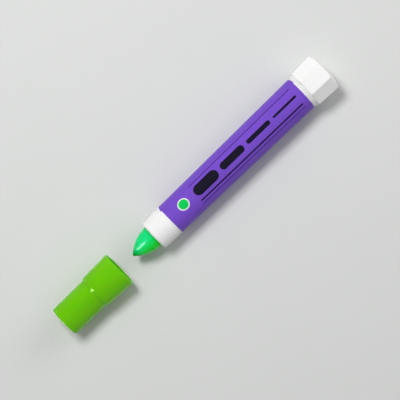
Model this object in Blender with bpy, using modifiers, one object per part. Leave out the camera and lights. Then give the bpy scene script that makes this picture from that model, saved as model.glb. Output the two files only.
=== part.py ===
"""Twist-up solid paint marker, lying on a surface with its cap drawn off.

The marker's axis is level. Along it, positions are measured from the front face of the barrel's
nozzle and grow towards the knob, so the paint's tip and the cap lie at negative positions. World +X
runs from the cap to the knob.
"""

import math

import bmesh
import bpy
from mathutils import Matrix, Vector

MM = 0.001

# Clearances
PART_GAP = 0.3 * MM
STICK_CLEARANCE = 0.35 * MM
LABEL_GAP = 0.1 * MM
SEAL_GAP = 0.2 * MM
CAP_SEAT_CLEARANCE = 0.15 * MM
CAP_FLAP_CLEARANCE = 0.18 * MM
CAP_NOSE_CLEARANCE = 0.75 * MM

# Paint stick
STICK_DIAMETER = 10.5 * MM
TIP_LENGTH = 12.0 * MM
TIP_BLUNTNESS = 0.5 * MM
SOLID_PAINT_DEPTH = 8.5 * MM

# Feed screw
SPINDLE_DIAMETER = 4.8 * MM
THREAD_DEPTH = 1.0 * MM
THREAD_PITCH = 4.0 * MM
THREAD_ROOT_WIDTH = 1.4 * MM
THREAD_CREST_WIDTH = 0.9 * MM
SPINDLE_CHAMFER = 0.5 * MM
THREAD_RUN_OUT = 2.0 * MM
FLANGE_LIP = 0.7 * MM
FLANGE_THICKNESS = 1.2 * MM
JOURNAL_DIAMETER = 4.8 * MM
SQUARE_CORNER_EASE = 0.14 * MM
SQUARE_BITE = 0.1 * MM
SQUARE_LENGTH = 4.2 * MM
SNAP_DEPTH = 0.6 * MM
SNAP_LIP_THICKNESS = 0.8 * MM
SNAP_HEAD_LENGTH = 1.6 * MM

# Stick holder
NUT_LENGTH = 6.0 * MM
CUP_DEPTH = 7.0 * MM
CUP_WALL = 0.7 * MM
WIND_IN_STOP_GAP = 0.5 * MM

# Barrel
BARREL_LENGTH = 89.0 * MM
NOZZLE_WALL = 1.05 * MM
BARREL_REAR_WALL = 1.85 * MM
LIP_RADIUS = 0.8 * MM
LIP_LENGTH = 2.0 * MM
RIB_HEIGHT = 0.6 * MM
RIB_WIDTH = 1.2 * MM
RIB_BITE = 0.35 * MM
RIB_COUNT = 4
COLLAR_LENGTH = 1.9 * MM
COLLAR_RISE = 0.65 * MM
COLLAR_RIM = 0.4 * MM

# Label
LABEL_THICKNESS = 0.12 * MM
LABEL_START = 9.95 * MM
LABEL_OVERLAP = 3.0 * MM
LABEL_OVERLAP_RAMP = 1.5 * MM
LABEL_SEAM_FROM_TOP = 40.0

# Rear bush and its seal
BUSH_LENGTH = 9.0 * MM
BUSH_WALL = 1.2 * MM
BUSH_WEB = 4.0 * MM
BUSH_SEAT_STEP = 0.5 * MM
SNAP_BEAD_HEIGHT = 0.45 * MM
SNAP_BEAD_WIDTH = 1.4 * MM
SNAP_BEAD_FROM_REAR = 2.6 * MM
BEARING_BOSS_WALL = 1.3 * MM
SEAL_THICKNESS = 1.1 * MM

# Knob
KNOB_LENGTH = 12.45 * MM
KNOB_FRONT_MARGIN = 0.05 * MM
KNOB_FLARE = 0.3 * MM
KNOB_CORNER_RISE = 0.5 * MM
KNOB_FLATS = 8
KNOB_DOME_RADIUS = 35.0 * MM
KNOB_EDGE_RADIUS = 1.5 * MM
KNOB_FRONT_CHAMFER = 0.3 * MM
KNOB_WALL = 1.7 * MM
KNOB_END_WALL = 3.5 * MM
HUB_WALL = 1.6 * MM

# Cap
CAP_TIP_ROOM = 5.8 * MM
CAP_SKIRT_LENGTH = 14.6 * MM
CAP_NOSE_WALL = 1.25 * MM
CAP_SKIRT_WALL = 0.55 * MM
CAP_MOUTH_WALL = 0.68 * MM
CAP_END_WALL = 1.2 * MM
CAP_END_RADIUS = 0.8 * MM
CAP_SHOULDER_RADIUS = 0.5 * MM
CAP_SEAT_INSET = 0.9 * MM
CAP_MOUTH_CHAMFER = 0.2 * MM
CAP_GAP_TO_TIP = 8.0 * MM

# Steps of the round surfaces
ROUND_STEPS = 48
INNER_STEPS = 32
THREAD_STEPS = 16
ARC_STEPS = 5
OGIVE_STEPS = 11
SEAL_STEPS = 10
GROOVE_SPARE_TURNS = 1
SHARP_ANGLE = math.radians(32.0)
WELD_DISTANCE = 0.002 * MM

# Barrel, worked out from the stick outwards
stick_radius = STICK_DIAMETER / 2
mouth_radius = stick_radius + STICK_CLEARANCE
bore_radius = mouth_radius + RIB_HEIGHT
nozzle_radius = bore_radius + NOZZLE_WALL
barrel_rear_radius = bore_radius + BARREL_REAR_WALL
collar_radius = barrel_rear_radius + COLLAR_RISE
collar_start = BARREL_LENGTH - COLLAR_LENGTH
label_end = collar_start - LABEL_GAP
label_layer = LABEL_THICKNESS + LABEL_GAP

# Rear bush, worked out from the barrel
bush_seat = BARREL_LENGTH - BUSH_LENGTH
bush_seat_radius = bore_radius + BUSH_SEAT_STEP
bush_front = bush_seat + PART_GAP
bush_radius = bush_seat_radius - PART_GAP
bead_rear = BARREL_LENGTH - SNAP_BEAD_FROM_REAR
bead_front = bead_rear - SNAP_BEAD_WIDTH

# Spindle, worked out from the bush; wound in, the paint's tip is level with the nozzle's face
wind_in = TIP_LENGTH
spindle_radius = SPINDLE_DIAMETER / 2
core_radius = spindle_radius - THREAD_DEPTH
journal_radius = JOURNAL_DIAMETER / 2
flange_rear = bush_front - PART_GAP
flange_front = flange_rear - FLANGE_THICKNESS
spindle_front = SOLID_PAINT_DEPTH + wind_in + PART_GAP
thread_start = spindle_front + THREAD_RUN_OUT
seal_ring_radius = journal_radius + SEAL_GAP + SEAL_THICKNESS / 2
seal_gland_radius = seal_ring_radius + SEAL_THICKNESS / 2 + SEAL_GAP
seal_gland_depth = SEAL_THICKNESS + SEAL_GAP
flange_radius = seal_gland_radius + FLANGE_LIP
bearing_radius = journal_radius + PART_GAP
journal_end = BARREL_LENGTH + PART_GAP / 2
square_start = journal_end - SQUARE_BITE
square_half = (journal_radius - SQUARE_CORNER_EASE) / math.sqrt(2.0)

# Stick holder and the stick in it
holder_rear = flange_front - WIND_IN_STOP_GAP - wind_in
nut_front = holder_rear - NUT_LENGTH
holder_front = nut_front - CUP_DEPTH
notch_radius = mouth_radius - PART_GAP
cup_inner_radius = notch_radius - CUP_WALL
stick_tail_radius = cup_inner_radius - PART_GAP
holder_radius = bore_radius - PART_GAP
stick_bore_radius = spindle_radius + PART_GAP
stick_bore_front = SOLID_PAINT_DEPTH

# Knob, worked out from the barrel's collar
knob_front = BARREL_LENGTH + PART_GAP
knob_rear = knob_front + KNOB_LENGTH
knob_front_flat = collar_radius + KNOB_FRONT_MARGIN
knob_rear_flat = knob_front_flat + KNOB_FLARE
knob_dome_centre = knob_rear - KNOB_DOME_RADIUS
square_end = knob_front + SQUARE_LENGTH
snap_lip_front = square_end + PART_GAP
snap_lip_rear = snap_lip_front + SNAP_LIP_THICKNESS
snap_head_front = snap_lip_rear + PART_GAP
snap_head_rear = snap_head_front + SNAP_HEAD_LENGTH
snap_head_radius = square_half
neck_radius = snap_head_radius - SNAP_DEPTH
hub_radius = journal_radius + PART_GAP + HUB_WALL

# Cap, worked out where it sits on the nozzle and then drawn off
cap_seat = -PART_GAP
cap_step = cap_seat - CAP_SEAT_INSET
cap_mouth = cap_step + CAP_SKIRT_LENGTH
cap_floor = -TIP_LENGTH - CAP_TIP_ROOM
cap_end = cap_floor - CAP_END_WALL
cap_nose_inner_radius = stick_radius + CAP_NOSE_CLEARANCE
cap_nose_radius = cap_nose_inner_radius + CAP_NOSE_WALL
cap_draw_off = cap_mouth + TIP_LENGTH + CAP_GAP_TO_TIP

# Place in the world: level on its knob, centred over its length
axis_height = knob_rear_flat
middle = (knob_rear + cap_end - cap_draw_off) / 2


def barrel_radius_at(along):
    """The barrel's outer radius in front of its collar."""
    return nozzle_radius + (barrel_rear_radius - nozzle_radius) * along / collar_start


def arc(centre_along, centre_radius, radius, start, end, steps=ARC_STEPS):
    """Profile points on an arc; 0 degrees points to the knob, 90 degrees away from the axis."""
    points = []
    for step in range(steps + 1):
        turn = math.radians(start + (end - start) * step / steps)
        points.append((centre_along + radius * math.cos(turn), centre_radius + radius * math.sin(turn)))
    return points


def new_collection(name):
    collection = bpy.data.collections.new(name)
    bpy.context.scene.collection.children.link(collection)
    return collection


def clear_scene():
    for obj in list(bpy.data.objects):
        bpy.data.objects.remove(obj, do_unlink=True)


def closed_mesh(obj):
    """Replaces an object's modifiers by the closed mesh that they make, with its faces pointing out."""
    bpy.context.view_layer.update()
    graph = bpy.context.evaluated_depsgraph_get()
    mesh = bpy.data.meshes.new_from_object(obj.evaluated_get(graph))
    mesh.name = obj.name
    shape = bmesh.new()
    shape.from_mesh(mesh)
    bmesh.ops.remove_doubles(shape, verts=shape.verts, dist=WELD_DISTANCE)
    open_edges = [edge for edge in shape.edges if edge.is_boundary]
    bmesh.ops.holes_fill(shape, edges=open_edges, sides=0)
    bmesh.ops.recalc_face_normals(shape, faces=shape.faces)
    shape.to_mesh(mesh)
    shape.free()
    obj.modifiers.clear()
    obj.data = mesh
    return obj


def add_object(name, mesh):
    obj = bpy.data.objects.new(name, mesh)
    parts.objects.link(obj)
    return obj


def turned(name, profile, steps=ROUND_STEPS, rise=0.0, turns=1):
    """A solid turned from (along, radius) points; with a rise per turn it is a left-hand thread."""
    mesh = bpy.data.meshes.new(name)
    points = [(radius, 0.0, along) for along, radius in profile]
    edges = [(i, i + 1) for i in range(len(points) - 1)]
    if profile[0][1] > 0.0 or profile[-1][1] > 0.0:
        edges.append((len(points) - 1, 0))
    mesh.from_pydata(points, edges, [])
    obj = add_object(name, mesh)
    screw = obj.modifiers.new("turn", "SCREW")
    screw.axis = "Z"
    screw.angle = -math.tau
    screw.screw_offset = rise
    screw.iterations = turns
    screw.steps = steps
    screw.render_steps = steps
    screw.use_merge_vertices = rise == 0.0
    screw.merge_threshold = WELD_DISTANCE
    return closed_mesh(obj)


def block(name, low, high, turn=0.0):
    """A box from its low to its high corner, turned about the axis."""
    mesh = bpy.data.meshes.new(name)
    shape = bmesh.new()
    bmesh.ops.create_cube(shape, size=1.0)
    size = Vector(high) - Vector(low)
    centre = (Vector(high) + Vector(low)) / 2
    place = Matrix.Rotation(turn, 4, "Z") @ Matrix.Translation(centre) @ Matrix.Diagonal(size).to_4x4()
    bmesh.ops.transform(shape, matrix=place, verts=shape.verts)
    shape.to_mesh(mesh)
    shape.free()
    return add_object(name, mesh)


def combine(obj, other, operation):
    """Joins, cuts or keeps what is common, then puts the other shape away with the cutters."""
    boolean = obj.modifiers.new(operation.lower(), "BOOLEAN")
    boolean.operation = operation
    boolean.solver = "EXACT"
    boolean.object = other
    closed_mesh(obj)
    parts.objects.unlink(other)
    cutters.objects.link(other)
    other.hide_render = True
    other.display_type = "WIRE"


def material(name, colour, roughness, transmission=0.0):
    made = bpy.data.materials.new(name)
    made.use_nodes = True
    shader = made.node_tree.nodes["Principled BSDF"]
    shader.inputs["Base Color"].default_value = (*colour, 1.0)
    shader.inputs["Roughness"].default_value = roughness
    shader.inputs["Metallic"].default_value = 0.0
    shader.inputs["Transmission Weight"].default_value = transmission
    made.diffuse_color = (*colour, 1.0)
    return made


def finish(obj, carrier, look):
    """Shades a piece smooth up to its edges, colours it and sets it on the axis that carries it."""
    obj.data.shade_smooth()
    obj.data.set_sharp_from_angle(angle=SHARP_ANGLE)
    obj.data.materials.append(look)
    obj.parent = carrier
    return obj


def thread_ridge(name, clearance, start, turns):
    """The helical ridge of the feed screw, or with a clearance the groove that it runs in."""
    foot = core_radius - THREAD_DEPTH / 2
    crest = spindle_radius + clearance
    slope = (THREAD_ROOT_WIDTH - THREAD_CREST_WIDTH) / 2 / THREAD_DEPTH
    crest_half = THREAD_CREST_WIDTH / 2 + clearance
    foot_half = crest_half + slope * (crest - foot)
    profile = [
        (start - foot_half, foot),
        (start - crest_half, crest),
        (start + crest_half, crest),
        (start + foot_half, foot),
        (start - foot_half, foot),
    ]
    return turned(name, profile, THREAD_STEPS, rise=THREAD_PITCH, turns=turns)


def make_barrel():
    label_front = LABEL_START - LABEL_GAP
    profile = [(0.0, mouth_radius)]
    profile += arc(LIP_RADIUS, nozzle_radius - LIP_RADIUS, LIP_RADIUS, 180.0, 90.0)
    profile += [
        (label_front, barrel_radius_at(label_front)),
        (label_front, barrel_radius_at(label_front) - label_layer),
        (collar_start, barrel_rear_radius - label_layer),
        (collar_start, barrel_rear_radius),
        (BARREL_LENGTH - COLLAR_RIM, collar_radius),
        (BARREL_LENGTH, collar_radius),
        (BARREL_LENGTH, bush_seat_radius),
        (bead_rear, bush_seat_radius),
        (bead_rear, bush_seat_radius + SNAP_BEAD_HEIGHT),
        (bead_front, bush_seat_radius + SNAP_BEAD_HEIGHT),
        (bead_front, bush_seat_radius),
        (bush_seat, bush_seat_radius),
        (bush_seat, bore_radius),
        (LIP_LENGTH, bore_radius),
        (LIP_LENGTH, mouth_radius),
    ]
    barrel = turned("barrel", profile)
    for number in range(RIB_COUNT):
        low = (mouth_radius, -RIB_WIDTH / 2, LIP_LENGTH - RIB_BITE)
        high = (bore_radius + RIB_BITE, RIB_WIDTH / 2, flange_front - PART_GAP)
        rib = block(f"rib_{number + 1}", low, high, math.tau * number / RIB_COUNT)
        combine(barrel, rib, "UNION")
    return barrel


def make_label():
    """The film is one strip, rolled round the barrel until its last edge lies on its first."""
    radius = barrel_radius_at((LABEL_START + label_end) / 2)
    overlap_turn = LABEL_OVERLAP / radius
    ramp_turn = LABEL_OVERLAP_RAMP / radius
    seam = math.pi - math.radians(LABEL_SEAM_FROM_TOP)
    whole_turn = math.tau + overlap_turn
    columns = ROUND_STEPS + round(ROUND_STEPS * (overlap_turn + ramp_turn) / math.tau)
    mesh = bpy.data.meshes.new("label")
    shape = bmesh.new()
    bmesh.ops.create_grid(shape, x_segments=columns, y_segments=1, size=0.5)
    for vert in shape.verts:
        turn = (vert.co.x + 0.5) * whole_turn
        along = LABEL_START + (vert.co.y + 0.5) * (label_end - LABEL_START)
        climb = min(max((turn - math.tau + ramp_turn) / ramp_turn, 0.0), 1.0)
        reach = barrel_radius_at(along) + label_layer * climb
        angle = seam + turn - whole_turn
        vert.co = (reach * math.cos(angle), reach * math.sin(angle), along)
    shape.to_mesh(mesh)
    shape.free()
    label = add_object("label", mesh)
    film = label.modifiers.new("film", "SOLIDIFY")
    film.thickness = LABEL_THICKNESS
    film.offset = -1.0
    film.use_even_offset = True
    return closed_mesh(label)


def make_rear_bush():
    sleeve_inner = bush_radius - BUSH_WALL
    web_rear = bush_front + BUSH_WEB
    boss_radius = bearing_radius + BEARING_BOSS_WALL
    bead_top = bush_radius + SNAP_BEAD_HEIGHT
    profile = [
        (bush_front, bush_radius),
        (bead_front + PART_GAP, bush_radius),
        ((bead_front + bead_rear) / 2, bead_top),
        (bead_rear - PART_GAP, bush_radius),
        (BARREL_LENGTH, bush_radius),
        (BARREL_LENGTH, sleeve_inner),
        (web_rear, sleeve_inner),
        (web_rear, boss_radius),
        (BARREL_LENGTH, boss_radius),
        (BARREL_LENGTH, bearing_radius),
        (bush_front + seal_gland_depth, bearing_radius),
        (bush_front + seal_gland_depth, seal_gland_radius),
        (bush_front, seal_gland_radius),
    ]
    return turned("rear_bush", profile, INNER_STEPS)


def make_spindle():
    profile = [
        (spindle_front, 0.0),
        (spindle_front, core_radius - SPINDLE_CHAMFER),
        (spindle_front + SPINDLE_CHAMFER, core_radius),
        (flange_front, core_radius),
        (flange_front, flange_radius),
        (flange_rear, flange_radius),
        (flange_rear, journal_radius),
        (journal_end, journal_radius),
        (journal_end, neck_radius),
        (snap_head_front, neck_radius),
        (snap_head_front, snap_head_radius),
        (snap_head_rear, neck_radius),
        (snap_head_rear, 0.0),
    ]
    spindle = turned("spindle", profile, INNER_STEPS)
    tail_low = (-square_half, -square_half, square_start)
    tail_high = (square_half, square_half, square_end)
    combine(spindle, block("square_tail", tail_low, tail_high), "UNION")
    turns = int((flange_front - THREAD_RUN_OUT - thread_start) / THREAD_PITCH)
    combine(spindle, thread_ridge("thread", 0.0, thread_start, turns), "UNION")
    return spindle


def make_spindle_seal():
    middle_along = bush_front + seal_gland_depth - SEAL_GAP - SEAL_THICKNESS / 2
    profile = arc(middle_along, seal_ring_radius, SEAL_THICKNESS / 2, 0.0, 360.0, SEAL_STEPS)[:-1]
    return turned("spindle_seal", profile, INNER_STEPS)


def make_stick_holder():
    minor_radius = core_radius + PART_GAP
    profile = [
        (holder_front, holder_radius),
        (holder_rear, holder_radius),
        (holder_rear, minor_radius),
        (nut_front, minor_radius),
        (nut_front, cup_inner_radius),
        (holder_front, cup_inner_radius),
    ]
    holder = turned("stick_holder", profile, INNER_STEPS)
    turns_before = int((nut_front - thread_start) / THREAD_PITCH) - GROOVE_SPARE_TURNS
    turns = int(NUT_LENGTH / THREAD_PITCH) + 1 + 2 * GROOVE_SPARE_TURNS
    groove_start = thread_start + turns_before * THREAD_PITCH
    combine(holder, thread_ridge("nut_groove", PART_GAP, groove_start, turns), "DIFFERENCE")
    half = RIB_WIDTH / 2 + PART_GAP
    for number in range(RIB_COUNT):
        low = (notch_radius, -half, holder_front - PART_GAP)
        high = (bore_radius + PART_GAP, half, holder_rear + PART_GAP)
        notch = block(f"rib_notch_{number + 1}", low, high, math.tau * number / RIB_COUNT)
        combine(holder, notch, "DIFFERENCE")
    return holder


def make_paint_stick():
    """The tip is an ogive that runs into the stick's side at the nozzle's face."""
    sweep = (stick_radius**2 + TIP_LENGTH**2) / STICK_DIAMETER
    ogive_front = TIP_BLUNTNESS - TIP_LENGTH
    profile = [(-TIP_LENGTH, 0.0)]
    for step in range(OGIVE_STEPS + 1):
        along = ogive_front * (1.0 - step / OGIVE_STEPS)
        profile.append((along, math.sqrt(sweep**2 - along**2) + stick_radius - sweep))
    shoulder = holder_front - PART_GAP
    tail_end = nut_front - PART_GAP
    profile += [
        (shoulder, stick_radius),
        (shoulder, stick_tail_radius),
        (tail_end, stick_tail_radius),
        (tail_end, stick_bore_radius),
        (stick_bore_front, stick_bore_radius),
        (stick_bore_front, 0.0),
    ]
    return turned("paint_stick", profile, ROUND_STEPS)


def dome_along(reach, inset=0.0):
    """Where the knob's dome, or a surface set in from it, stands at a reach from the axis."""
    return knob_dome_centre + math.sqrt((KNOB_DOME_RADIUS - inset) ** 2 - reach**2)


def make_knob():
    corner_front = knob_front_flat + KNOB_CORNER_RISE
    corner_rear = knob_rear_flat + KNOB_CORNER_RISE
    edge = KNOB_EDGE_RADIUS
    rim_reach = corner_rear - edge
    rim_along = dome_along(rim_reach, edge)
    rim_angle = math.degrees(math.atan2(rim_reach, rim_along - knob_dome_centre))
    profile = [
        (knob_front, 0.0),
        (knob_front, corner_front - KNOB_FRONT_CHAMFER),
        (knob_front + KNOB_FRONT_CHAMFER, corner_front),
    ]
    profile += arc(rim_along, rim_reach, edge, 90.0, rim_angle)
    profile += arc(knob_dome_centre, 0.0, KNOB_DOME_RADIUS, rim_angle, 0.0)[1:]
    knob = turned("knob", profile)
    corner = 1.0 / math.cos(math.pi / KNOB_FLATS)
    over = PART_GAP
    slope = (knob_rear_flat - knob_front_flat) / (rim_along - knob_front)
    prism = [
        (knob_front - over, 0.0),
        (knob_front - over, (knob_front_flat - slope * over) * corner),
        (rim_along, knob_rear_flat * corner),
        (knob_rear + over, knob_rear_flat * corner),
        (knob_rear + over, 0.0),
    ]
    flats = turned("knob_flats", prism, KNOB_FLATS)
    flats.data.transform(Matrix.Rotation(math.pi / KNOB_FLATS, 4, "Z"))
    combine(knob, flats, "INTERSECT")
    pocket_outer = knob_front_flat - KNOB_WALL
    pocket_end = dome_along(pocket_outer) - KNOB_END_WALL
    pocket = [
        (knob_front - over, pocket_outer),
        (pocket_end, pocket_outer),
        (pocket_end, hub_radius),
        (knob_front - over, hub_radius),
    ]
    combine(knob, turned("knob_pocket", pocket, INNER_STEPS), "DIFFERENCE")
    half = square_half + PART_GAP
    socket = block("square_socket", (-half, -half, knob_front - over), (half, half, snap_lip_front))
    combine(knob, socket, "DIFFERENCE")
    chamber_radius = snap_head_radius + PART_GAP
    chamber = [
        (snap_lip_front - over, 0.0),
        (snap_lip_front - over, neck_radius + PART_GAP),
        (snap_lip_rear, neck_radius + PART_GAP),
        (snap_lip_rear, chamber_radius),
        (snap_head_rear + PART_GAP, chamber_radius),
        (snap_head_rear + PART_GAP, 0.0),
    ]
    combine(knob, turned("snap_chamber", chamber, INNER_STEPS), "DIFFERENCE")
    return knob


def make_cap():
    skirt_inner = nozzle_radius + CAP_SEAT_CLEARANCE
    mouth_inner = barrel_radius_at(cap_mouth) + label_layer + CAP_FLAP_CLEARANCE
    skirt_outer = skirt_inner + CAP_SKIRT_WALL
    mouth_outer = mouth_inner + CAP_MOUTH_WALL
    shoulder = min(CAP_SHOULDER_RADIUS, skirt_outer - cap_nose_radius)
    profile = [(cap_end, 0.0)]
    profile += arc(cap_end + CAP_END_RADIUS, cap_nose_radius - CAP_END_RADIUS, CAP_END_RADIUS, 180.0, 90.0)
    profile.append((cap_step, cap_nose_radius))
    profile += arc(cap_step + shoulder, skirt_outer - shoulder, shoulder, 180.0, 90.0)
    profile += [
        (cap_mouth - CAP_MOUTH_CHAMFER, mouth_outer),
        (cap_mouth, mouth_outer - CAP_MOUTH_CHAMFER),
        (cap_mouth, mouth_inner),
        (cap_seat, skirt_inner),
        (cap_seat, cap_nose_inner_radius),
        (cap_floor, cap_nose_inner_radius),
        (cap_floor, 0.0),
    ]
    return turned("cap", profile)


def add_axis(name, carrier=None, along=0.0):
    empty = bpy.data.objects.new(name, None)
    empty.empty_display_size = stick_radius
    parts.objects.link(empty)
    empty.parent = carrier
    empty.location = (0.0, 0.0, along)
    return empty


def main():
    white = material("white_plastic", (0.90, 0.90, 0.89), 0.38)
    film = material("label_film", (0.20, 0.09, 0.55), 0.32)
    paint = material("green_paint", (0.0, 0.52, 0.10), 0.30)
    green = material("cap_plastic", (0.14, 0.52, 0.0), 0.18, transmission=0.6)
    natural = material("natural_plastic", (0.78, 0.79, 0.76), 0.45)
    rubber = material("seal_rubber", (0.03, 0.03, 0.03), 0.70)

    marker_axis = add_axis("marker_axis")
    marker_axis.location = (-middle, 0.0, axis_height)
    marker_axis.rotation_euler = (0.0, math.pi / 2, 0.0)
    knob_axis = add_axis("knob_axis", marker_axis)
    paint_axis = add_axis("paint_axis", marker_axis)
    cap_axis = add_axis("cap_axis", marker_axis, -cap_draw_off)

    finish(make_barrel(), marker_axis, white)
    finish(make_label(), marker_axis, film)
    finish(make_rear_bush(), marker_axis, natural)
    finish(make_spindle(), knob_axis, natural)
    finish(make_spindle_seal(), knob_axis, rubber)
    finish(make_knob(), knob_axis, white)
    finish(make_stick_holder(), paint_axis, natural)
    finish(make_paint_stick(), paint_axis, paint)
    finish(make_cap(), cap_axis, green)
    for cutter in cutters.objects:
        cutter.parent = marker_axis


clear_scene()
parts = new_collection("solid_paint_marker")
cutters = new_collection("cutters")
main()
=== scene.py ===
"""Looks of the twist-up solid paint marker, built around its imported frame.

Lengths are in metres. The marker's axis runs along X, from the cap to the knob. An angle round the axis
is measured from the top and grows towards +Y, which is the upper left of the photograph.
"""

import math

import bmesh
import bpy
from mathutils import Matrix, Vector


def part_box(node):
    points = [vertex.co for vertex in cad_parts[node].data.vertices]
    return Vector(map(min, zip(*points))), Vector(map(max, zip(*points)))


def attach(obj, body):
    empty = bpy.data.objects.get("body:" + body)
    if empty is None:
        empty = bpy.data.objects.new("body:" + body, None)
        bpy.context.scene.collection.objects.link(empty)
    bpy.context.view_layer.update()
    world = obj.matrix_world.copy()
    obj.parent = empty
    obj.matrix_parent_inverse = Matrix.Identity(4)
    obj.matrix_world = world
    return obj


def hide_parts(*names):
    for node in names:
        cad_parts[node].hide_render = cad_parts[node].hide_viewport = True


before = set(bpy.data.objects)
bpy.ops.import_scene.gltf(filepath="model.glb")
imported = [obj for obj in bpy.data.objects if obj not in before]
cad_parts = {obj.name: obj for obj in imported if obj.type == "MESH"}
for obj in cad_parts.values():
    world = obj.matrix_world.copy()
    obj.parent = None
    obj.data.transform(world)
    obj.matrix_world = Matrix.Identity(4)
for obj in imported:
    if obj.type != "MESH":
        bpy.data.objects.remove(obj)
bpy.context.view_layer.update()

MM = 0.001

# Gap that is left between neighbouring pieces
FIT_GAP = 0.1 * MM

# Barrel, measured from the face of its nozzle
LIP_RADIUS = 0.8 * MM
MOUTH_EDGE = 0.2 * MM
MOUTH_RADIUS = 5.6 * MM
LIP_LENGTH = 2.0 * MM
BORE_RADIUS = 6.2 * MM
RIB_HALF_ANGLE = math.radians(5.5)
RIB_COUNT = 4
NOZZLE_RADIUS = 7.25 * MM
RECESS_DEPTH = 0.22 * MM
COLLAR_LENGTH = 1.9 * MM
COLLAR_FLAT = 0.35 * MM
COLLAR_RISE = 0.65 * MM
COLLAR_FLARE = 1.25
COLLAR_EDGE = 0.2 * MM
COLLAR_EDGE_DEGREES = 60.0
BUSH_SEAT_RADIUS = 6.7 * MM
BEAD_GROOVE_PLACE = 4.0 * MM
BEAD_GROOVE_WIDTH = 1.4 * MM
BEAD_GROOVE_DEPTH = 0.45 * MM

# Label
FILM_THICKNESS = 0.07 * MM
FILM_LAYER = 0.09 * MM
FILM_OVERLAP = 3.0 * MM
FILM_RAMP = 1.5 * MM
FREE_EDGE = math.radians(43.0)
FLAP_PROUD = 0.36 * MM
FLAP_SLANT = 0.55 * MM
FLAP_SLANT_ANGLE = math.radians(50.0)

# Print on the label: along it from the nozzle's face, and across it from the top line
CHART_START = 25.0 * MM
CHART_END = 84.0 * MM
CHART_GAP = 2.0 * MM
CHART_MIDDLE = 0.8 * MM
CHART_STROKES = (5.0 * MM, 3.4 * MM, 2.0 * MM, 1.0 * MM)
RULE_PLACES_AND_WIDTHS = ((5.0 * MM, 0.3 * MM), (-3.6 * MM, 0.7 * MM), (-5.4 * MM, 0.35 * MM))
DOT_PLACE = 18.5 * MM
DOT_RADIUS = 2.2 * MM
DOT_RING = 0.5 * MM
PRINT_BLUR = 0.04 * MM

# Paint stick
TIP_ROUND = 0.7 * MM
# Painted shade: the reach back from the paint's point over which its colour darkens
POINT_SHADE_REACH = 3.0 * MM
# Painted shade in a ring round the nozzle's face: its reach to either side of the face, and its strength
NOZZLE_SHADE_REACH = 1.6 * MM
NOZZLE_SHADE_SHARE = 0.5
STICK_BORE_RADIUS = 2.7 * MM
STICK_BORE_DEPTH = 20.5 * MM
STICK_TAIL_RADIUS = 4.3 * MM

# Knob
KNOB_FLATS = 8
KNOB_CORNER_RADIUS = 0.3 * MM
KNOB_FLARE = 0.3 * MM
KNOB_PARTING = 0.24 * MM
KNOB_FRONT_DROP = 0.25 * MM
KNOB_FRONT_RUN = 1.4 * MM
KNOB_REAR_EDGE = 0.6 * MM
KNOB_DOME_RADIUS = 27.0 * MM
KNOB_WALL = 1.7 * MM
KNOB_POCKET_DEPTH = 8.0 * MM
HUB_RADIUS = 4.3 * MM
HUB_BORE_RADIUS = 2.55 * MM
HUB_BORE_DEPTH = 7.6 * MM

# Cap
CAP_NOSE_RADIUS = 7.25 * MM
CAP_NOSE_WALL = 1.25 * MM
CAP_END_WALL = 1.2 * MM
CAP_END_RADIUS = 0.4 * MM
CAP_SKIRT_LENGTH = 14.6 * MM
CAP_SKIRT_RADIUS = 7.95 * MM
CAP_SEAT_INSET = 0.9 * MM
CAP_SEAT_RADIUS = 7.4 * MM
CAP_MOUTH_WALL = 0.68 * MM
CAP_SHOULDER_RUN = 2.0 * MM
CAP_SHOULDER_LEAD = 0.8 * MM
CAP_MOUTH_EDGE = 0.2 * MM
CAP_INNER_EDGE = 0.4 * MM

# White plastic of the barrel and the knob
BARREL_WHITENESS = 0.915
# The knob's higher whiteness than the barrel's is painted light, for the brighter light that its flats
# catch
KNOB_WHITENESS_WITH_PAINTED_LIGHT = 0.945

# Range that holds most values of a noise pattern
NOISE_LOW = 0.3
NOISE_HIGH = 0.7

# Steps of the surfaces
ROUND_STEPS = 192
ARC_STEPS = 8
OGIVE_STEPS = 40
DOME_STEPS = 14
SHARP_ANGLE = math.radians(28.0)
WELD_DISTANCE = 0.0005 * MM

# Camera, from the photograph: its height over the marker's axis and the width that it takes in there
CAMERA_HEIGHT = 710.0 * MM
FIELD_WIDTH = 169.6 * MM
MARKER_SLANT = math.radians(44.0)
CAMERA_X = 0.1 * MM
CAMERA_Y = -2.73 * MM

# Floor and surroundings
FLOOR_REACH = 2.0
WORLD_LIGHT = 0.27
BACKGROUND_LEVEL = 0.72

# Places taken from the frame
barrel_low, barrel_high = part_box("barrel")
label_low, label_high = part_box("label")
stick_low, stick_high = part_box("paint_stick")
knob_low, knob_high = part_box("knob")
cap_low, cap_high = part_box("cap")
holder_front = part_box("stick_holder")[0].x
bush_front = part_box("rear_bush")[0].x
axis_height = (knob_low.z + knob_high.z) / 2
nozzle_face = barrel_low.x
barrel_end = barrel_high.x
collar_start = barrel_end - COLLAR_LENGTH
collar_radius = (barrel_high.y - barrel_low.y) / 2
barrel_rear_radius = collar_radius - COLLAR_RISE
stick_radius = (stick_high.y - stick_low.y) / 2
knob_rear_flat = (knob_high.y - knob_low.y) / 2
cap_mouth_radius = (cap_high.y - cap_low.y) / 2


def place(x, radius, angle):
    """The point at a position along the axis, a radius and an angle round it."""
    return Vector((x, radius * math.sin(angle), axis_height + radius * math.cos(angle)))


def arc(centre_x, centre_radius, radius, start, end, steps=ARC_STEPS):
    """Profile points on an arc; 0 degrees points to the knob, 90 degrees away from the axis."""
    points = []
    for step in range(steps + 1):
        turn = math.radians(start + (end - start) * step / steps)
        points.append((centre_x + radius * math.cos(turn), centre_radius + radius * math.sin(turn)))
    return points


def rounded_rise(x, radius, run, rise):
    """Profile points that climb less and less, until they run along the axis."""
    shares = [step / ARC_STEPS for step in range(ARC_STEPS + 1)]
    return [(x + run * share, radius + rise * share * (2.0 - share)) for share in shares]


def smooth_step(share):
    """Eases in and out between 0 and 1."""
    share = min(max(share, 0.0), 1.0)
    return share * share * (3.0 - 2.0 * share)


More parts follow.
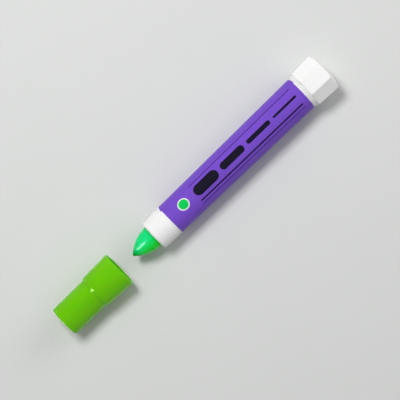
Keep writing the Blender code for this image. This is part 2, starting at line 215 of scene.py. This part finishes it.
def soft_step(x, radius, run, rise):
    """Profile points that swing out from one radius to a wider one."""
    shares = [step / (2 * ARC_STEPS) for step in range(2 * ARC_STEPS + 1)]
    return [(x + run * share, radius + rise * smooth_step(share)) for share in shares]


def barrel_radius_at(x):
    """The barrel's outer radius in front of its collar."""
    share = (x - nozzle_face) / (collar_start - nozzle_face)
    return NOZZLE_RADIUS + (barrel_rear_radius - NOZZLE_RADIUS) * share


def add_piece(name, shape, body, node, slot, *looks):
    """Makes a piece of a closed shape; it stands for a node and rides on that node's body."""
    bmesh.ops.remove_doubles(shape, verts=shape.verts, dist=WELD_DISTANCE)
    bmesh.ops.recalc_face_normals(shape, faces=shape.faces)
    mesh = bpy.data.meshes.new(name)
    shape.to_mesh(mesh)
    shape.free()
    mesh.shade_smooth()
    mesh.set_sharp_from_angle(angle=SHARP_ANGLE)
    for look in looks:
        mesh.materials.append(look)
    piece = bpy.data.objects.new(name, mesh)
    bpy.context.scene.collection.objects.link(piece)
    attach(piece, body)
    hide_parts(node)


def turned(profile_at, steps=ROUND_STEPS):
    """A closed skin round the axis, whose (x, radius) profile may change with the angle.

    A profile that starts on the axis also ends there, and any other one closes on itself.
    """
    shape = bmesh.new()
    columns = []
    for step in range(steps):
        angle = math.tau * step / steps
        columns.append([shape.verts.new(place(x, radius, angle)) for x, radius in profile_at(angle)])
    closes = profile_at(0.0)[0][1] > 0.0
    for column, following in zip(columns, columns[1:] + columns[:1]):
        rows = len(column) if closes else len(column) - 1
        for row in range(rows):
            below = (row + 1) % len(column)
            shape.faces.new((column[row], following[row], following[below], column[below]))
    return shape


def make_barrel(look):
    """The tube with its nozzle, the recess that the label lies in and the flared collar."""
    recess_start = label_low.x - FIT_GAP
    flare_start = collar_start + COLLAR_FLAT
    flare_end = barrel_end - COLLAR_EDGE
    lip_end = nozzle_face + LIP_LENGTH
    seat_end = bush_front - FIT_GAP
    profile = arc(nozzle_face + MOUTH_EDGE, MOUTH_RADIUS + MOUTH_EDGE, MOUTH_EDGE, 270.0, 180.0)
    profile += arc(nozzle_face + LIP_RADIUS, NOZZLE_RADIUS - LIP_RADIUS, LIP_RADIUS, 180.0, 90.0)
    profile += [
        (recess_start, barrel_radius_at(recess_start)),
        (recess_start, barrel_radius_at(recess_start) - RECESS_DEPTH),
        (collar_start, barrel_rear_radius - RECESS_DEPTH),
        (collar_start, barrel_rear_radius),
    ]
    for step in range(ARC_STEPS + 1):
        share = step / ARC_STEPS
        x = flare_start + (flare_end - flare_start) * share
        profile.append((x, barrel_rear_radius + COLLAR_RISE * share**COLLAR_FLARE))
    profile += arc(flare_end, collar_radius - COLLAR_EDGE, COLLAR_EDGE, COLLAR_EDGE_DEGREES, 0.0)
    groove_start = barrel_end - BEAD_GROOVE_PLACE
    groove_end = groove_start + BEAD_GROOVE_WIDTH
    profile += [
        (barrel_end, BUSH_SEAT_RADIUS),
        (groove_end, BUSH_SEAT_RADIUS),
        (groove_end, BUSH_SEAT_RADIUS + BEAD_GROOVE_DEPTH),
        (groove_start, BUSH_SEAT_RADIUS + BEAD_GROOVE_DEPTH),
        (groove_start, BUSH_SEAT_RADIUS),
        (seat_end, BUSH_SEAT_RADIUS),
    ]
    rib_step = math.tau / RIB_COUNT

    def profile_at(angle):
        from_rib = abs((angle + rib_step / 2) % rib_step - rib_step / 2)
        bore = MOUTH_RADIUS if from_rib < RIB_HALF_ANGLE else BORE_RADIUS
        return profile + [(seat_end, bore), (lip_end, bore), (lip_end, MOUTH_RADIUS)]

    add_piece("barrel_tube", turned(profile_at), "barrel", "barrel", "white_plastic", look)


def make_label(look, edge_look):
    """One strip of film, rolled round the barrel until its free edge lies on its first edge."""
    middle_radius = barrel_radius_at((label_low.x + label_high.x) / 2)
    overlap = FILM_OVERLAP / middle_radius
    ramp = FILM_RAMP / middle_radius
    whole_turn = math.tau + overlap
    columns = ROUND_STEPS + round(ROUND_STEPS * overlap / math.tau)
    shape = bmesh.new()
    print_map = shape.loops.layers.uv.new("print")
    place_on_film = {}

    def section(behind):
        """The film's four corners at an angle behind its free edge."""
        climb = smooth_step((overlap + ramp - behind) / ramp)
        # The ends slant near the free edge, and come back to the node's length on the second half turn
        proud = FLAP_PROUD - FLAP_SLANT * smooth_step(behind / FLAP_SLANT_ANGLE)
        proud *= min(1.0, max(0.0, 2.0 - behind / math.pi))
        angle = FREE_EDGE + behind
        front = label_low.x - proud
        rear = label_high.x + proud
        corners = []
        for x, depth in ((front, 0.0), (rear, 0.0), (rear, FILM_THICKNESS), (front, FILM_THICKNESS)):
            corner = shape.verts.new(place(x, barrel_radius_at(x) + FILM_LAYER * climb - depth, angle))
            place_on_film[corner] = (x - nozzle_face, (angle - math.tau) * middle_radius)
            corners.append(corner)
        return corners

    sections = [section(whole_turn * column / columns) for column in range(columns + 1)]
    for corners, following in zip(sections, sections[1:]):
        for side in range(4):
            beside = (side + 1) % 4
            face = shape.faces.new((corners[side], corners[beside], following[beside], following[side]))
            face.material_index = side % 2
    for corners in (sections[0], sections[-1]):
        shape.faces.new(corners).material_index = 1
    for face in shape.faces:
        for loop in face.loops:
            loop[print_map].uv = place_on_film[loop.vert]
    add_piece("label_film", shape, "barrel", "label", "label_film", look, edge_look)


def make_paint_stick(look):
    """The bullet-shaped tip runs into the stick's side at the nozzle's face."""
    reach = nozzle_face - stick_low.x - TIP_ROUND
    sweep = (stick_radius**2 + reach**2 - TIP_ROUND**2) / (2 * (stick_radius - TIP_ROUND))
    meeting = 90.0 + math.degrees(math.atan2(reach, sweep - stick_radius))
    profile = arc(stick_low.x + TIP_ROUND, 0.0, TIP_ROUND, 180.0, meeting)
    profile[0] = (stick_low.x, 0.0)
    profile += arc(nozzle_face, stick_radius - sweep, sweep, meeting, 90.0, OGIVE_STEPS)
    shoulder = holder_front - FIT_GAP
    profile += [
        (shoulder, stick_radius),
        (shoulder, STICK_TAIL_RADIUS),
        (stick_high.x, STICK_TAIL_RADIUS),
        (stick_high.x, STICK_BORE_RADIUS),
        (stick_low.x + STICK_BORE_DEPTH, STICK_BORE_RADIUS),
        (stick_low.x + STICK_BORE_DEPTH, 0.0),
    ]
    shape = turned(lambda angle: profile)
    add_piece("paint_bullet", shape, "paint", "paint_stick", "green_paint", look)


def octagon_radius(flat, angle):
    """The radius of an octagon with rounded corners, lying on one of its flats."""
    half = math.pi / KNOB_FLATS
    from_flat = abs((angle + half) % (2 * half) - half)
    corner_centre = (flat - KNOB_CORNER_RADIUS) / math.cos(half)
    if flat * math.tan(from_flat) <= corner_centre * math.sin(half):
        return flat / math.cos(from_flat)
    swing = half - from_flat
    side = corner_centre * math.sin(swing)
    return corner_centre * math.cos(swing) + math.sqrt(KNOB_CORNER_RADIUS**2 - side**2)


def make_knob(look):
    """Eight flats that widen towards the shallow dome at the end; hollow round its hub at the front."""
    front = knob_low.x - KNOB_PARTING
    dome_centre = knob_high.x - KNOB_DOME_RADIUS
    pocket_radius = knob_rear_flat - KNOB_FLARE - KNOB_WALL
    inside = [
        (front + HUB_BORE_DEPTH, 0.0),
        (front + HUB_BORE_DEPTH, HUB_BORE_RADIUS),
        (front + KNOB_PARTING, HUB_BORE_RADIUS),
        (front + KNOB_PARTING, HUB_RADIUS),
        (front + KNOB_POCKET_DEPTH, HUB_RADIUS),
        (front + KNOB_POCKET_DEPTH, pocket_radius),
        (front, pocket_radius),
    ]

    def profile_at(angle):
        front_radius = octagon_radius(knob_rear_flat - KNOB_FLARE, angle)
        rear_radius = octagon_radius(knob_rear_flat, angle)
        rim_radius = rear_radius - KNOB_REAR_EDGE
        rim_x = dome_centre + math.sqrt((KNOB_DOME_RADIUS - KNOB_REAR_EDGE) ** 2 - rim_radius**2)
        rim_angle = math.degrees(math.atan2(rim_radius, rim_x - dome_centre))
        points = list(inside)
        points += rounded_rise(front, front_radius - KNOB_FRONT_DROP, KNOB_FRONT_RUN, KNOB_FRONT_DROP)
        points += arc(rim_x, rim_radius, KNOB_REAR_EDGE, 90.0, rim_angle)
        points += arc(dome_centre, 0.0, KNOB_DOME_RADIUS, rim_angle, 0.0, DOME_STEPS)[1:]
        points[-1] = (knob_high.x, 0.0)
        return points

    add_piece("twist_knob", turned(profile_at), "knob", "knob", "white_plastic", look)


def make_cap(look):
    """A cup for the paint's tip with a wider skirt that pushes over the nozzle."""
    step_x = cap_high.x - CAP_SKIRT_LENGTH
    seat_x = step_x + CAP_SEAT_INSET
    floor_x = cap_low.x + CAP_END_WALL
    nose_inner = CAP_NOSE_RADIUS - CAP_NOSE_WALL
    profile = [(cap_low.x, 0.0)]
    end_radius = CAP_NOSE_RADIUS - CAP_END_RADIUS
    profile += arc(cap_low.x + CAP_END_RADIUS, end_radius, CAP_END_RADIUS, 180.0, 90.0)
    rise = CAP_SKIRT_RADIUS - CAP_NOSE_RADIUS
    profile += soft_step(step_x - CAP_SHOULDER_LEAD, CAP_NOSE_RADIUS, CAP_SHOULDER_RUN, rise)
    rim_x = cap_high.x - CAP_MOUTH_EDGE
    rim_outer = cap_mouth_radius - CAP_MOUTH_EDGE
    rim_inner = cap_mouth_radius - CAP_MOUTH_WALL + CAP_MOUTH_EDGE
    profile += arc(rim_x, rim_outer, CAP_MOUTH_EDGE, 90.0, 0.0)
    profile += arc(rim_x, rim_inner, CAP_MOUTH_EDGE, 0.0, -90.0)
    profile += [(seat_x, CAP_SEAT_RADIUS), (seat_x, nose_inner)]
    profile += arc(floor_x + CAP_INNER_EDGE, nose_inner - CAP_INNER_EDGE, CAP_INNER_EDGE, 90.0, 180.0)
    profile.append((floor_x, 0.0))
    shape = turned(lambda angle: profile)
    add_piece("push_cap", shape, "cap", "cap", "cap_plastic", look)


def add_node(tree, kind, inputs=None, **settings):
    """Adds a node; an input is given a value, or the socket that feeds it."""
    made = tree.nodes.new(kind)
    for name, value in settings.items():
        setattr(made, name, value)
    for name, value in (inputs or {}).items():
        if isinstance(value, bpy.types.NodeSocket):
            tree.links.new(value, made.inputs[name])
        else:
            made.inputs[name].default_value = value
    return made


class Look:
    """A Principled material and the patterns that feed it."""

    def __init__(self, name, **constants):
        self.material = bpy.data.materials.new(name)
        self.material.use_nodes = True
        self.tree = self.material.node_tree
        self.shader = self.tree.nodes["Principled BSDF"]
        self.here = add_node(self.tree, "ShaderNodeTexCoord").outputs["Object"]
        for socket, value in constants.items():
            self.shader.inputs[socket.replace("_", " ")].default_value = value

    def feed(self, socket, source):
        self.tree.links.new(source, self.shader.inputs[socket])

    def noise(self, grain, detail=2.0, stretch=1.0):
        """Noise with a grain size in metres, which may be stretched along the axis."""
        mapping = add_node(self.tree, "ShaderNodeMapping", {"Vector": self.here})
        mapping.inputs["Scale"].default_value = (1.0 / stretch, 1.0, 1.0)
        inputs = {"Vector": mapping.outputs["Vector"], "Scale": 1.0 / grain, "Detail": detail}
        return add_node(self.tree, "ShaderNodeTexNoise", inputs).outputs["Fac"]

    def spread(self, value, low, high):
        """Maps a pattern's middle range onto a low and a high value."""
        limits = {"From Min": NOISE_LOW, "From Max": NOISE_HIGH, "To Min": low, "To Max": high}
        return add_node(self.tree, "ShaderNodeMapRange", {"Value": value, **limits}).outputs["Result"]

    def share(self, value, start, end):
        """Goes from 0 to 1 as a value goes from its start to its end."""
        limits = {"From Min": start, "From Max": end}
        return add_node(self.tree, "ShaderNodeMapRange", {"Value": value, **limits}).outputs["Result"]

    def blend(self, share, first, second):
        """A colour between two colours or sockets."""
        # A Mix node has sockets for every kind of data: 0 is its factor, 6 and 7 are its colours
        mix = add_node(self.tree, "ShaderNodeMix", data_type="RGBA")
        for socket, value in ((mix.inputs[0], share), (mix.inputs[6], first), (mix.inputs[7], second)):
            if isinstance(value, bpy.types.NodeSocket):
                self.tree.links.new(value, socket)
            elif isinstance(value, tuple):
                socket.default_value = (*value, 1.0)
            else:
                socket.default_value = value
        return mix.outputs[2]

    def math(self, operation, first, second=0.0):
        return add_node(self.tree, "ShaderNodeMath", {0: first, 1: second}, operation=operation).outputs[0]

    def bump(self, height, depth):
        """Relief whose full height is a depth in metres."""
        inputs = {"Height": height, "Distance": depth, "Strength": 1.0}
        relief = add_node(self.tree, "ShaderNodeBump", inputs)
        self.feed("Normal", relief.outputs["Normal"])


def white_plastic(name, whiteness):
    """Satin moulding with faint flow marks."""
    look = Look(name, IOR=1.49, Specular_IOR_Level=0.15)
    flow = look.noise(9.0 * MM, detail=3.0, stretch=3.0)
    pale = (whiteness, whiteness, whiteness - 0.005)
    deep = (whiteness - 0.03, whiteness - 0.03, whiteness - 0.037)
    look.feed("Base Color", look.blend(flow, deep, pale))
    look.feed("Roughness", look.spread(look.noise(1.2 * MM, detail=4.0), 0.45, 0.58))
    look.bump(look.noise(0.22 * MM, detail=3.0), 0.006 * MM)
    return look.material


def natural_plastic():
    """Uncoloured moulding."""
    look = Look("satin_natural", IOR=1.49)
    flow = look.noise(4.0 * MM, detail=3.0, stretch=2.0)
    look.feed("Base Color", look.blend(flow, (0.72, 0.73, 0.69), (0.80, 0.81, 0.78)))
    look.feed("Roughness", look.spread(look.noise(0.8 * MM, detail=4.0), 0.38, 0.52))
    look.bump(look.noise(0.2 * MM, detail=3.0), 0.008 * MM)
    return look.material


def seal_rubber():
    """Matte black rubber with a faint bloom."""
    look = Look("black_rubber", IOR=1.52)
    bloom = look.noise(1.5 * MM, detail=3.0)
    look.feed("Base Color", look.blend(bloom, (0.020, 0.020, 0.021), (0.050, 0.050, 0.052)))
    look.feed("Roughness", look.spread(look.noise(0.5 * MM, detail=4.0), 0.62, 0.80))
    look.bump(look.noise(0.12 * MM, detail=3.0), 0.010 * MM)
    return look.material


def green_paint():
    """Waxy paint, with painted light: a bluer painted sheen on its lit side, and painted shade at its
    point and in a ring at the nozzle's rim.
    """
    look = Look(
        "waxy_green",
        IOR=1.47,
        Specular_IOR_Level=0.43,
        Specular_Tint=(0.5, 1.0, 0.75, 1.0),
        Subsurface_Weight=0.35,
        Subsurface_Radius=(0.6, 2.0, 1.0),
        Subsurface_Scale=0.6 * MM,
    )
    streaks = look.noise(1.6 * MM, detail=3.0, stretch=4.0)
    axes = add_node(look.tree, "ShaderNodeSeparateXYZ", {"Vector": look.here}).outputs
    # Painted light: the paint turns from yellower on its shaded side to a bluer painted sheen on its lit
    # side
    shaded_side = -0.6 * stick_radius
    lit_side = 0.1 * stick_radius
    sheen_side_share = look.share(axes["Y"], shaded_side, lit_side)
    shade_side_green = look.blend(streaks, (0.0, 0.81, 0.006), (0.0, 0.87, 0.014))
    sheen_side_green = look.blend(streaks, (0.0, 0.79, 0.21), (0.0, 0.83, 0.26))
    # Painted shade in a ring where the paint meets the nozzle's face
    from_nozzle = look.math("ABSOLUTE", look.math("SUBTRACT", axes["X"], nozzle_face))
    nozzle_shade = look.math("MULTIPLY", look.share(from_nozzle, NOZZLE_SHADE_REACH, 0.0), NOZZLE_SHADE_SHARE)
    # Painted shade that darkens the paint towards its point
    point_shade = look.share(axes["X"], stick_low.x + POINT_SHADE_REACH, stick_low.x)
    painted_shade = look.math("MAXIMUM", point_shade, nozzle_shade)
    lit_and_shaded_green = look.blend(sheen_side_share, shade_side_green, sheen_side_green)
    # Colour of the painted shade at the point and at the nozzle's face
    shade_green = (0.004, 0.34, 0.012)
    look.feed("Base Color", look.blend(painted_shade, lit_and_shaded_green, shade_green))
    look.feed("Roughness", look.spread(look.noise(0.9 * MM, detail=4.0, stretch=3.0), 0.16, 0.26))
    look.bump(look.noise(0.7 * MM, detail=2.0, stretch=3.0), 0.010 * MM)
    return look.material


def cap_plastic():
    """Glossy plastic that light soaks into."""
    look = Look(
        "clear_green",
        IOR=1.47,
        Transmission_Weight=0.1,
        Specular_IOR_Level=0.3,
        Specular_Tint=(0.6, 1.0, 0.2, 1.0),
        Subsurface_Weight=1.0,
        Subsurface_Radius=(0.3, 1.0, 0.02),
        Subsurface_Scale=1.5 * MM,
    )
    flow = look.noise(6.0 * MM, detail=3.0, stretch=2.5)
    look.feed("Base Color", look.blend(flow, (0.180, 0.61, 0.003), (0.194, 0.65, 0.004)))
    look.feed("Roughness", look.spread(look.noise(1.0 * MM, detail=4.0), 0.05, 0.12))
    look.bump(look.noise(1.4 * MM, detail=2.0), 0.006 * MM)
    return look.material


def label_film():
    """Purple film, printed with a chart of stroke widths, three rules and a dot of the paint's colour."""
    look = Look("purple_film", IOR=1.50, Specular_IOR_Level=0.15)
    place_on_film = add_node(look.tree, "ShaderNodeUVMap", uv_map="print").outputs["UV"]
    axes = add_node(look.tree, "ShaderNodeSeparateXYZ", {"Vector": place_on_film}).outputs
    along, across = axes["X"], axes["Y"]

    def stroke(start, end, middle, thickness):
        """Is 1 on a round-ended stroke along the label."""
        half = thickness / 2
        run = (end - start) / 2
        beyond = look.math("ABSOLUTE", look.math("SUBTRACT", along, start + run))
        beyond = look.math("MAXIMUM", look.math("SUBTRACT", beyond, max(run - half, 0.0)), 0.0)
        aside = look.math("SUBTRACT", across, middle)
        beyond_square = look.math("MULTIPLY", beyond, beyond)
        aside_square = look.math("MULTIPLY", aside, aside)
        reach = look.math("SQRT", look.math("ADD", beyond_square, aside_square))
        return look.share(reach, half + PRINT_BLUR, half - PRINT_BLUR)

    width = (CHART_END - CHART_START - CHART_GAP * (len(CHART_STROKES) - 1)) / len(CHART_STROKES)
    dark = 0.0
    for number, thickness in enumerate(CHART_STROKES):
        start = CHART_START + number * (width + CHART_GAP)
        dark = look.math("MAXIMUM", stroke(start, start + width, CHART_MIDDLE, thickness), dark)
    for middle, thickness in RULE_PLACES_AND_WIDTHS:
        dark = look.math("MAXIMUM", stroke(CHART_START, CHART_END, middle, thickness), dark)
    ring = stroke(DOT_PLACE, DOT_PLACE, CHART_MIDDLE, 2 * (DOT_RADIUS + DOT_RING))
    dot = stroke(DOT_PLACE, DOT_PLACE, CHART_MIDDLE, 2 * DOT_RADIUS)
    tint = look.noise(5.0 * MM, detail=3.0)
    color = look.blend(tint, (0.174, 0.069, 0.556), (0.192, 0.077, 0.596))
    color = look.blend(dark, color, (0.0025, 0.0010, 0.0110))
    color = look.blend(ring, color, (0.84, 0.84, 0.84))
    color = look.blend(dot, color, (0.0, 0.60, 0.09))
    look.feed("Base Color", color)
    look.feed("Roughness", look.spread(look.noise(1.5 * MM, detail=4.0), 0.40, 0.50))
    look.bump(look.noise(0.5 * MM, detail=2.0), 0.004 * MM)
    return look.material


def film_edge():
    """The film's cut edges, which are paler than its print."""
    look = Look("cut_film", IOR=1.50)
    cut = look.noise(0.6 * MM, detail=2.0, stretch=3.0)
    look.feed("Base Color", look.blend(cut, (0.30, 0.17, 0.66), (0.38, 0.24, 0.70)))
    look.feed("Roughness", look.spread(cut, 0.40, 0.55))
    return look.material


def add_lamp(name, from_above, towards, distance, width, length, level):
    """An area lamp aimed at the marker, placed by degrees from straight above and round from +X.

    The level is the brightness that it alone gives to a white face turned towards it.
    """
    data = bpy.data.lights.new(name, "AREA")
    data.shape = "RECTANGLE"
    data.size = width
    data.size_y = length
    data.energy = level * (math.pi * distance) ** 2
    lamp = bpy.data.objects.new(name, data)
    bpy.context.scene.collection.objects.link(lamp)
    side = math.sin(math.radians(from_above))
    turn = math.radians(towards)
    back = Vector((side * math.cos(turn), side * math.sin(turn), math.cos(math.radians(from_above))))
    lamp.location = back * distance + Vector((0.0, 0.0, axis_height))
    lamp.rotation_mode = "QUATERNION"
    lamp.rotation_quaternion = (-back).to_track_quat("-Z", "Y")
    lamp.visible_camera = False
    return lamp


def make_floor():
    """A plain pale floor."""
    mesh = bpy.data.meshes.new("floor")
    shape = bmesh.new()
    bmesh.ops.create_grid(shape, x_segments=1, y_segments=1, size=FLOOR_REACH)
    shape.to_mesh(mesh)
    shape.free()
    floor = bpy.data.objects.new("floor", mesh)
    bpy.context.scene.collection.objects.link(floor)
    look = Look("floor_paper", Roughness=0.9, Specular_IOR_Level=0.2)
    look.feed("Base Color", look.blend(look.noise(40.0 * MM), (0.70, 0.71, 0.70), (0.72, 0.73, 0.72)))
    mesh.materials.append(look.material)


def make_world():
    """Soft light from all round; the camera, reflections and clear plastic see a pale background."""
    world = bpy.data.worlds.new("studio")
    bpy.context.scene.world = world
    world.use_nodes = True
    tree = world.node_tree
    ray = add_node(tree, "ShaderNodeLightPath").outputs
    seen = ray["Is Camera Ray"]
    for kind in ("Is Glossy Ray", "Is Transmission Ray"):
        seen = add_node(tree, "ShaderNodeMath", {0: seen, 1: ray[kind]}, operation="MAXIMUM").outputs[0]
    levels = {"Value": seen, "To Min": WORLD_LIGHT, "To Max": BACKGROUND_LEVEL}
    strength = add_node(tree, "ShaderNodeMapRange", levels).outputs["Result"]
    background = tree.nodes["Background"]
    tree.links.new(strength, background.inputs["Strength"])
    background.inputs["Color"].default_value = (1.0, 1.0, 1.0, 1.0)


def make_lamps():
    """A key and a fill light the surfaces, and a strip shows only as a glint on what is glossy."""
    key = add_lamp(
        "key", from_above=25.0, towards=90.0, distance=0.8, width=0.22, length=0.22, level=0.65
    )
    key.visible_glossy = False
    key.visible_transmission = False
    strip = add_lamp(
        "strip", from_above=56.0, towards=163.0, distance=0.6, width=0.20, length=0.46, level=1.40
    )
    strip.visible_diffuse = False
    strip.visible_transmission = False
    fill = add_lamp(
        "fill", from_above=62.0, towards=0.0, distance=0.9, width=0.6, length=0.6, level=0.30
    )
    fill.visible_glossy = False
    fill.visible_transmission = False


def make_camera():
    """Looks straight down, turned so that the marker slants as in the photograph."""
    data = bpy.data.cameras.new("camera")
    data.lens = data.sensor_width * CAMERA_HEIGHT / FIELD_WIDTH
    camera = bpy.data.objects.new("camera", data)
    bpy.context.scene.collection.objects.link(camera)
    camera.location = (CAMERA_X, CAMERA_Y, axis_height + CAMERA_HEIGHT)
    camera.rotation_euler = (0.0, 0.0, -MARKER_SLANT)
    bpy.context.scene.camera = camera


def dress_inner_nodes():
    """The pieces inside keep their own solids and get a finish."""
    natural = natural_plastic()
    for node in ("rear_bush", "spindle", "stick_holder"):
        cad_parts[node].material_slots[0].material = natural
    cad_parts["spindle_seal"].material_slots[0].material = seal_rubber()


def main():
    make_barrel(white_plastic("satin_white", BARREL_WHITENESS))
    make_label(label_film(), film_edge())
    make_paint_stick(green_paint())
    # The knob's white is the barrel's white plastic with painted light added
    make_knob(white_plastic("knob_white_with_painted_light", KNOB_WHITENESS_WITH_PAINTED_LIGHT))
    make_cap(cap_plastic())
    dress_inner_nodes()
    make_camera()
    make_floor()
    make_world()
    make_lamps()
    bpy.context.scene.view_settings.view_transform = "Standard"


main()
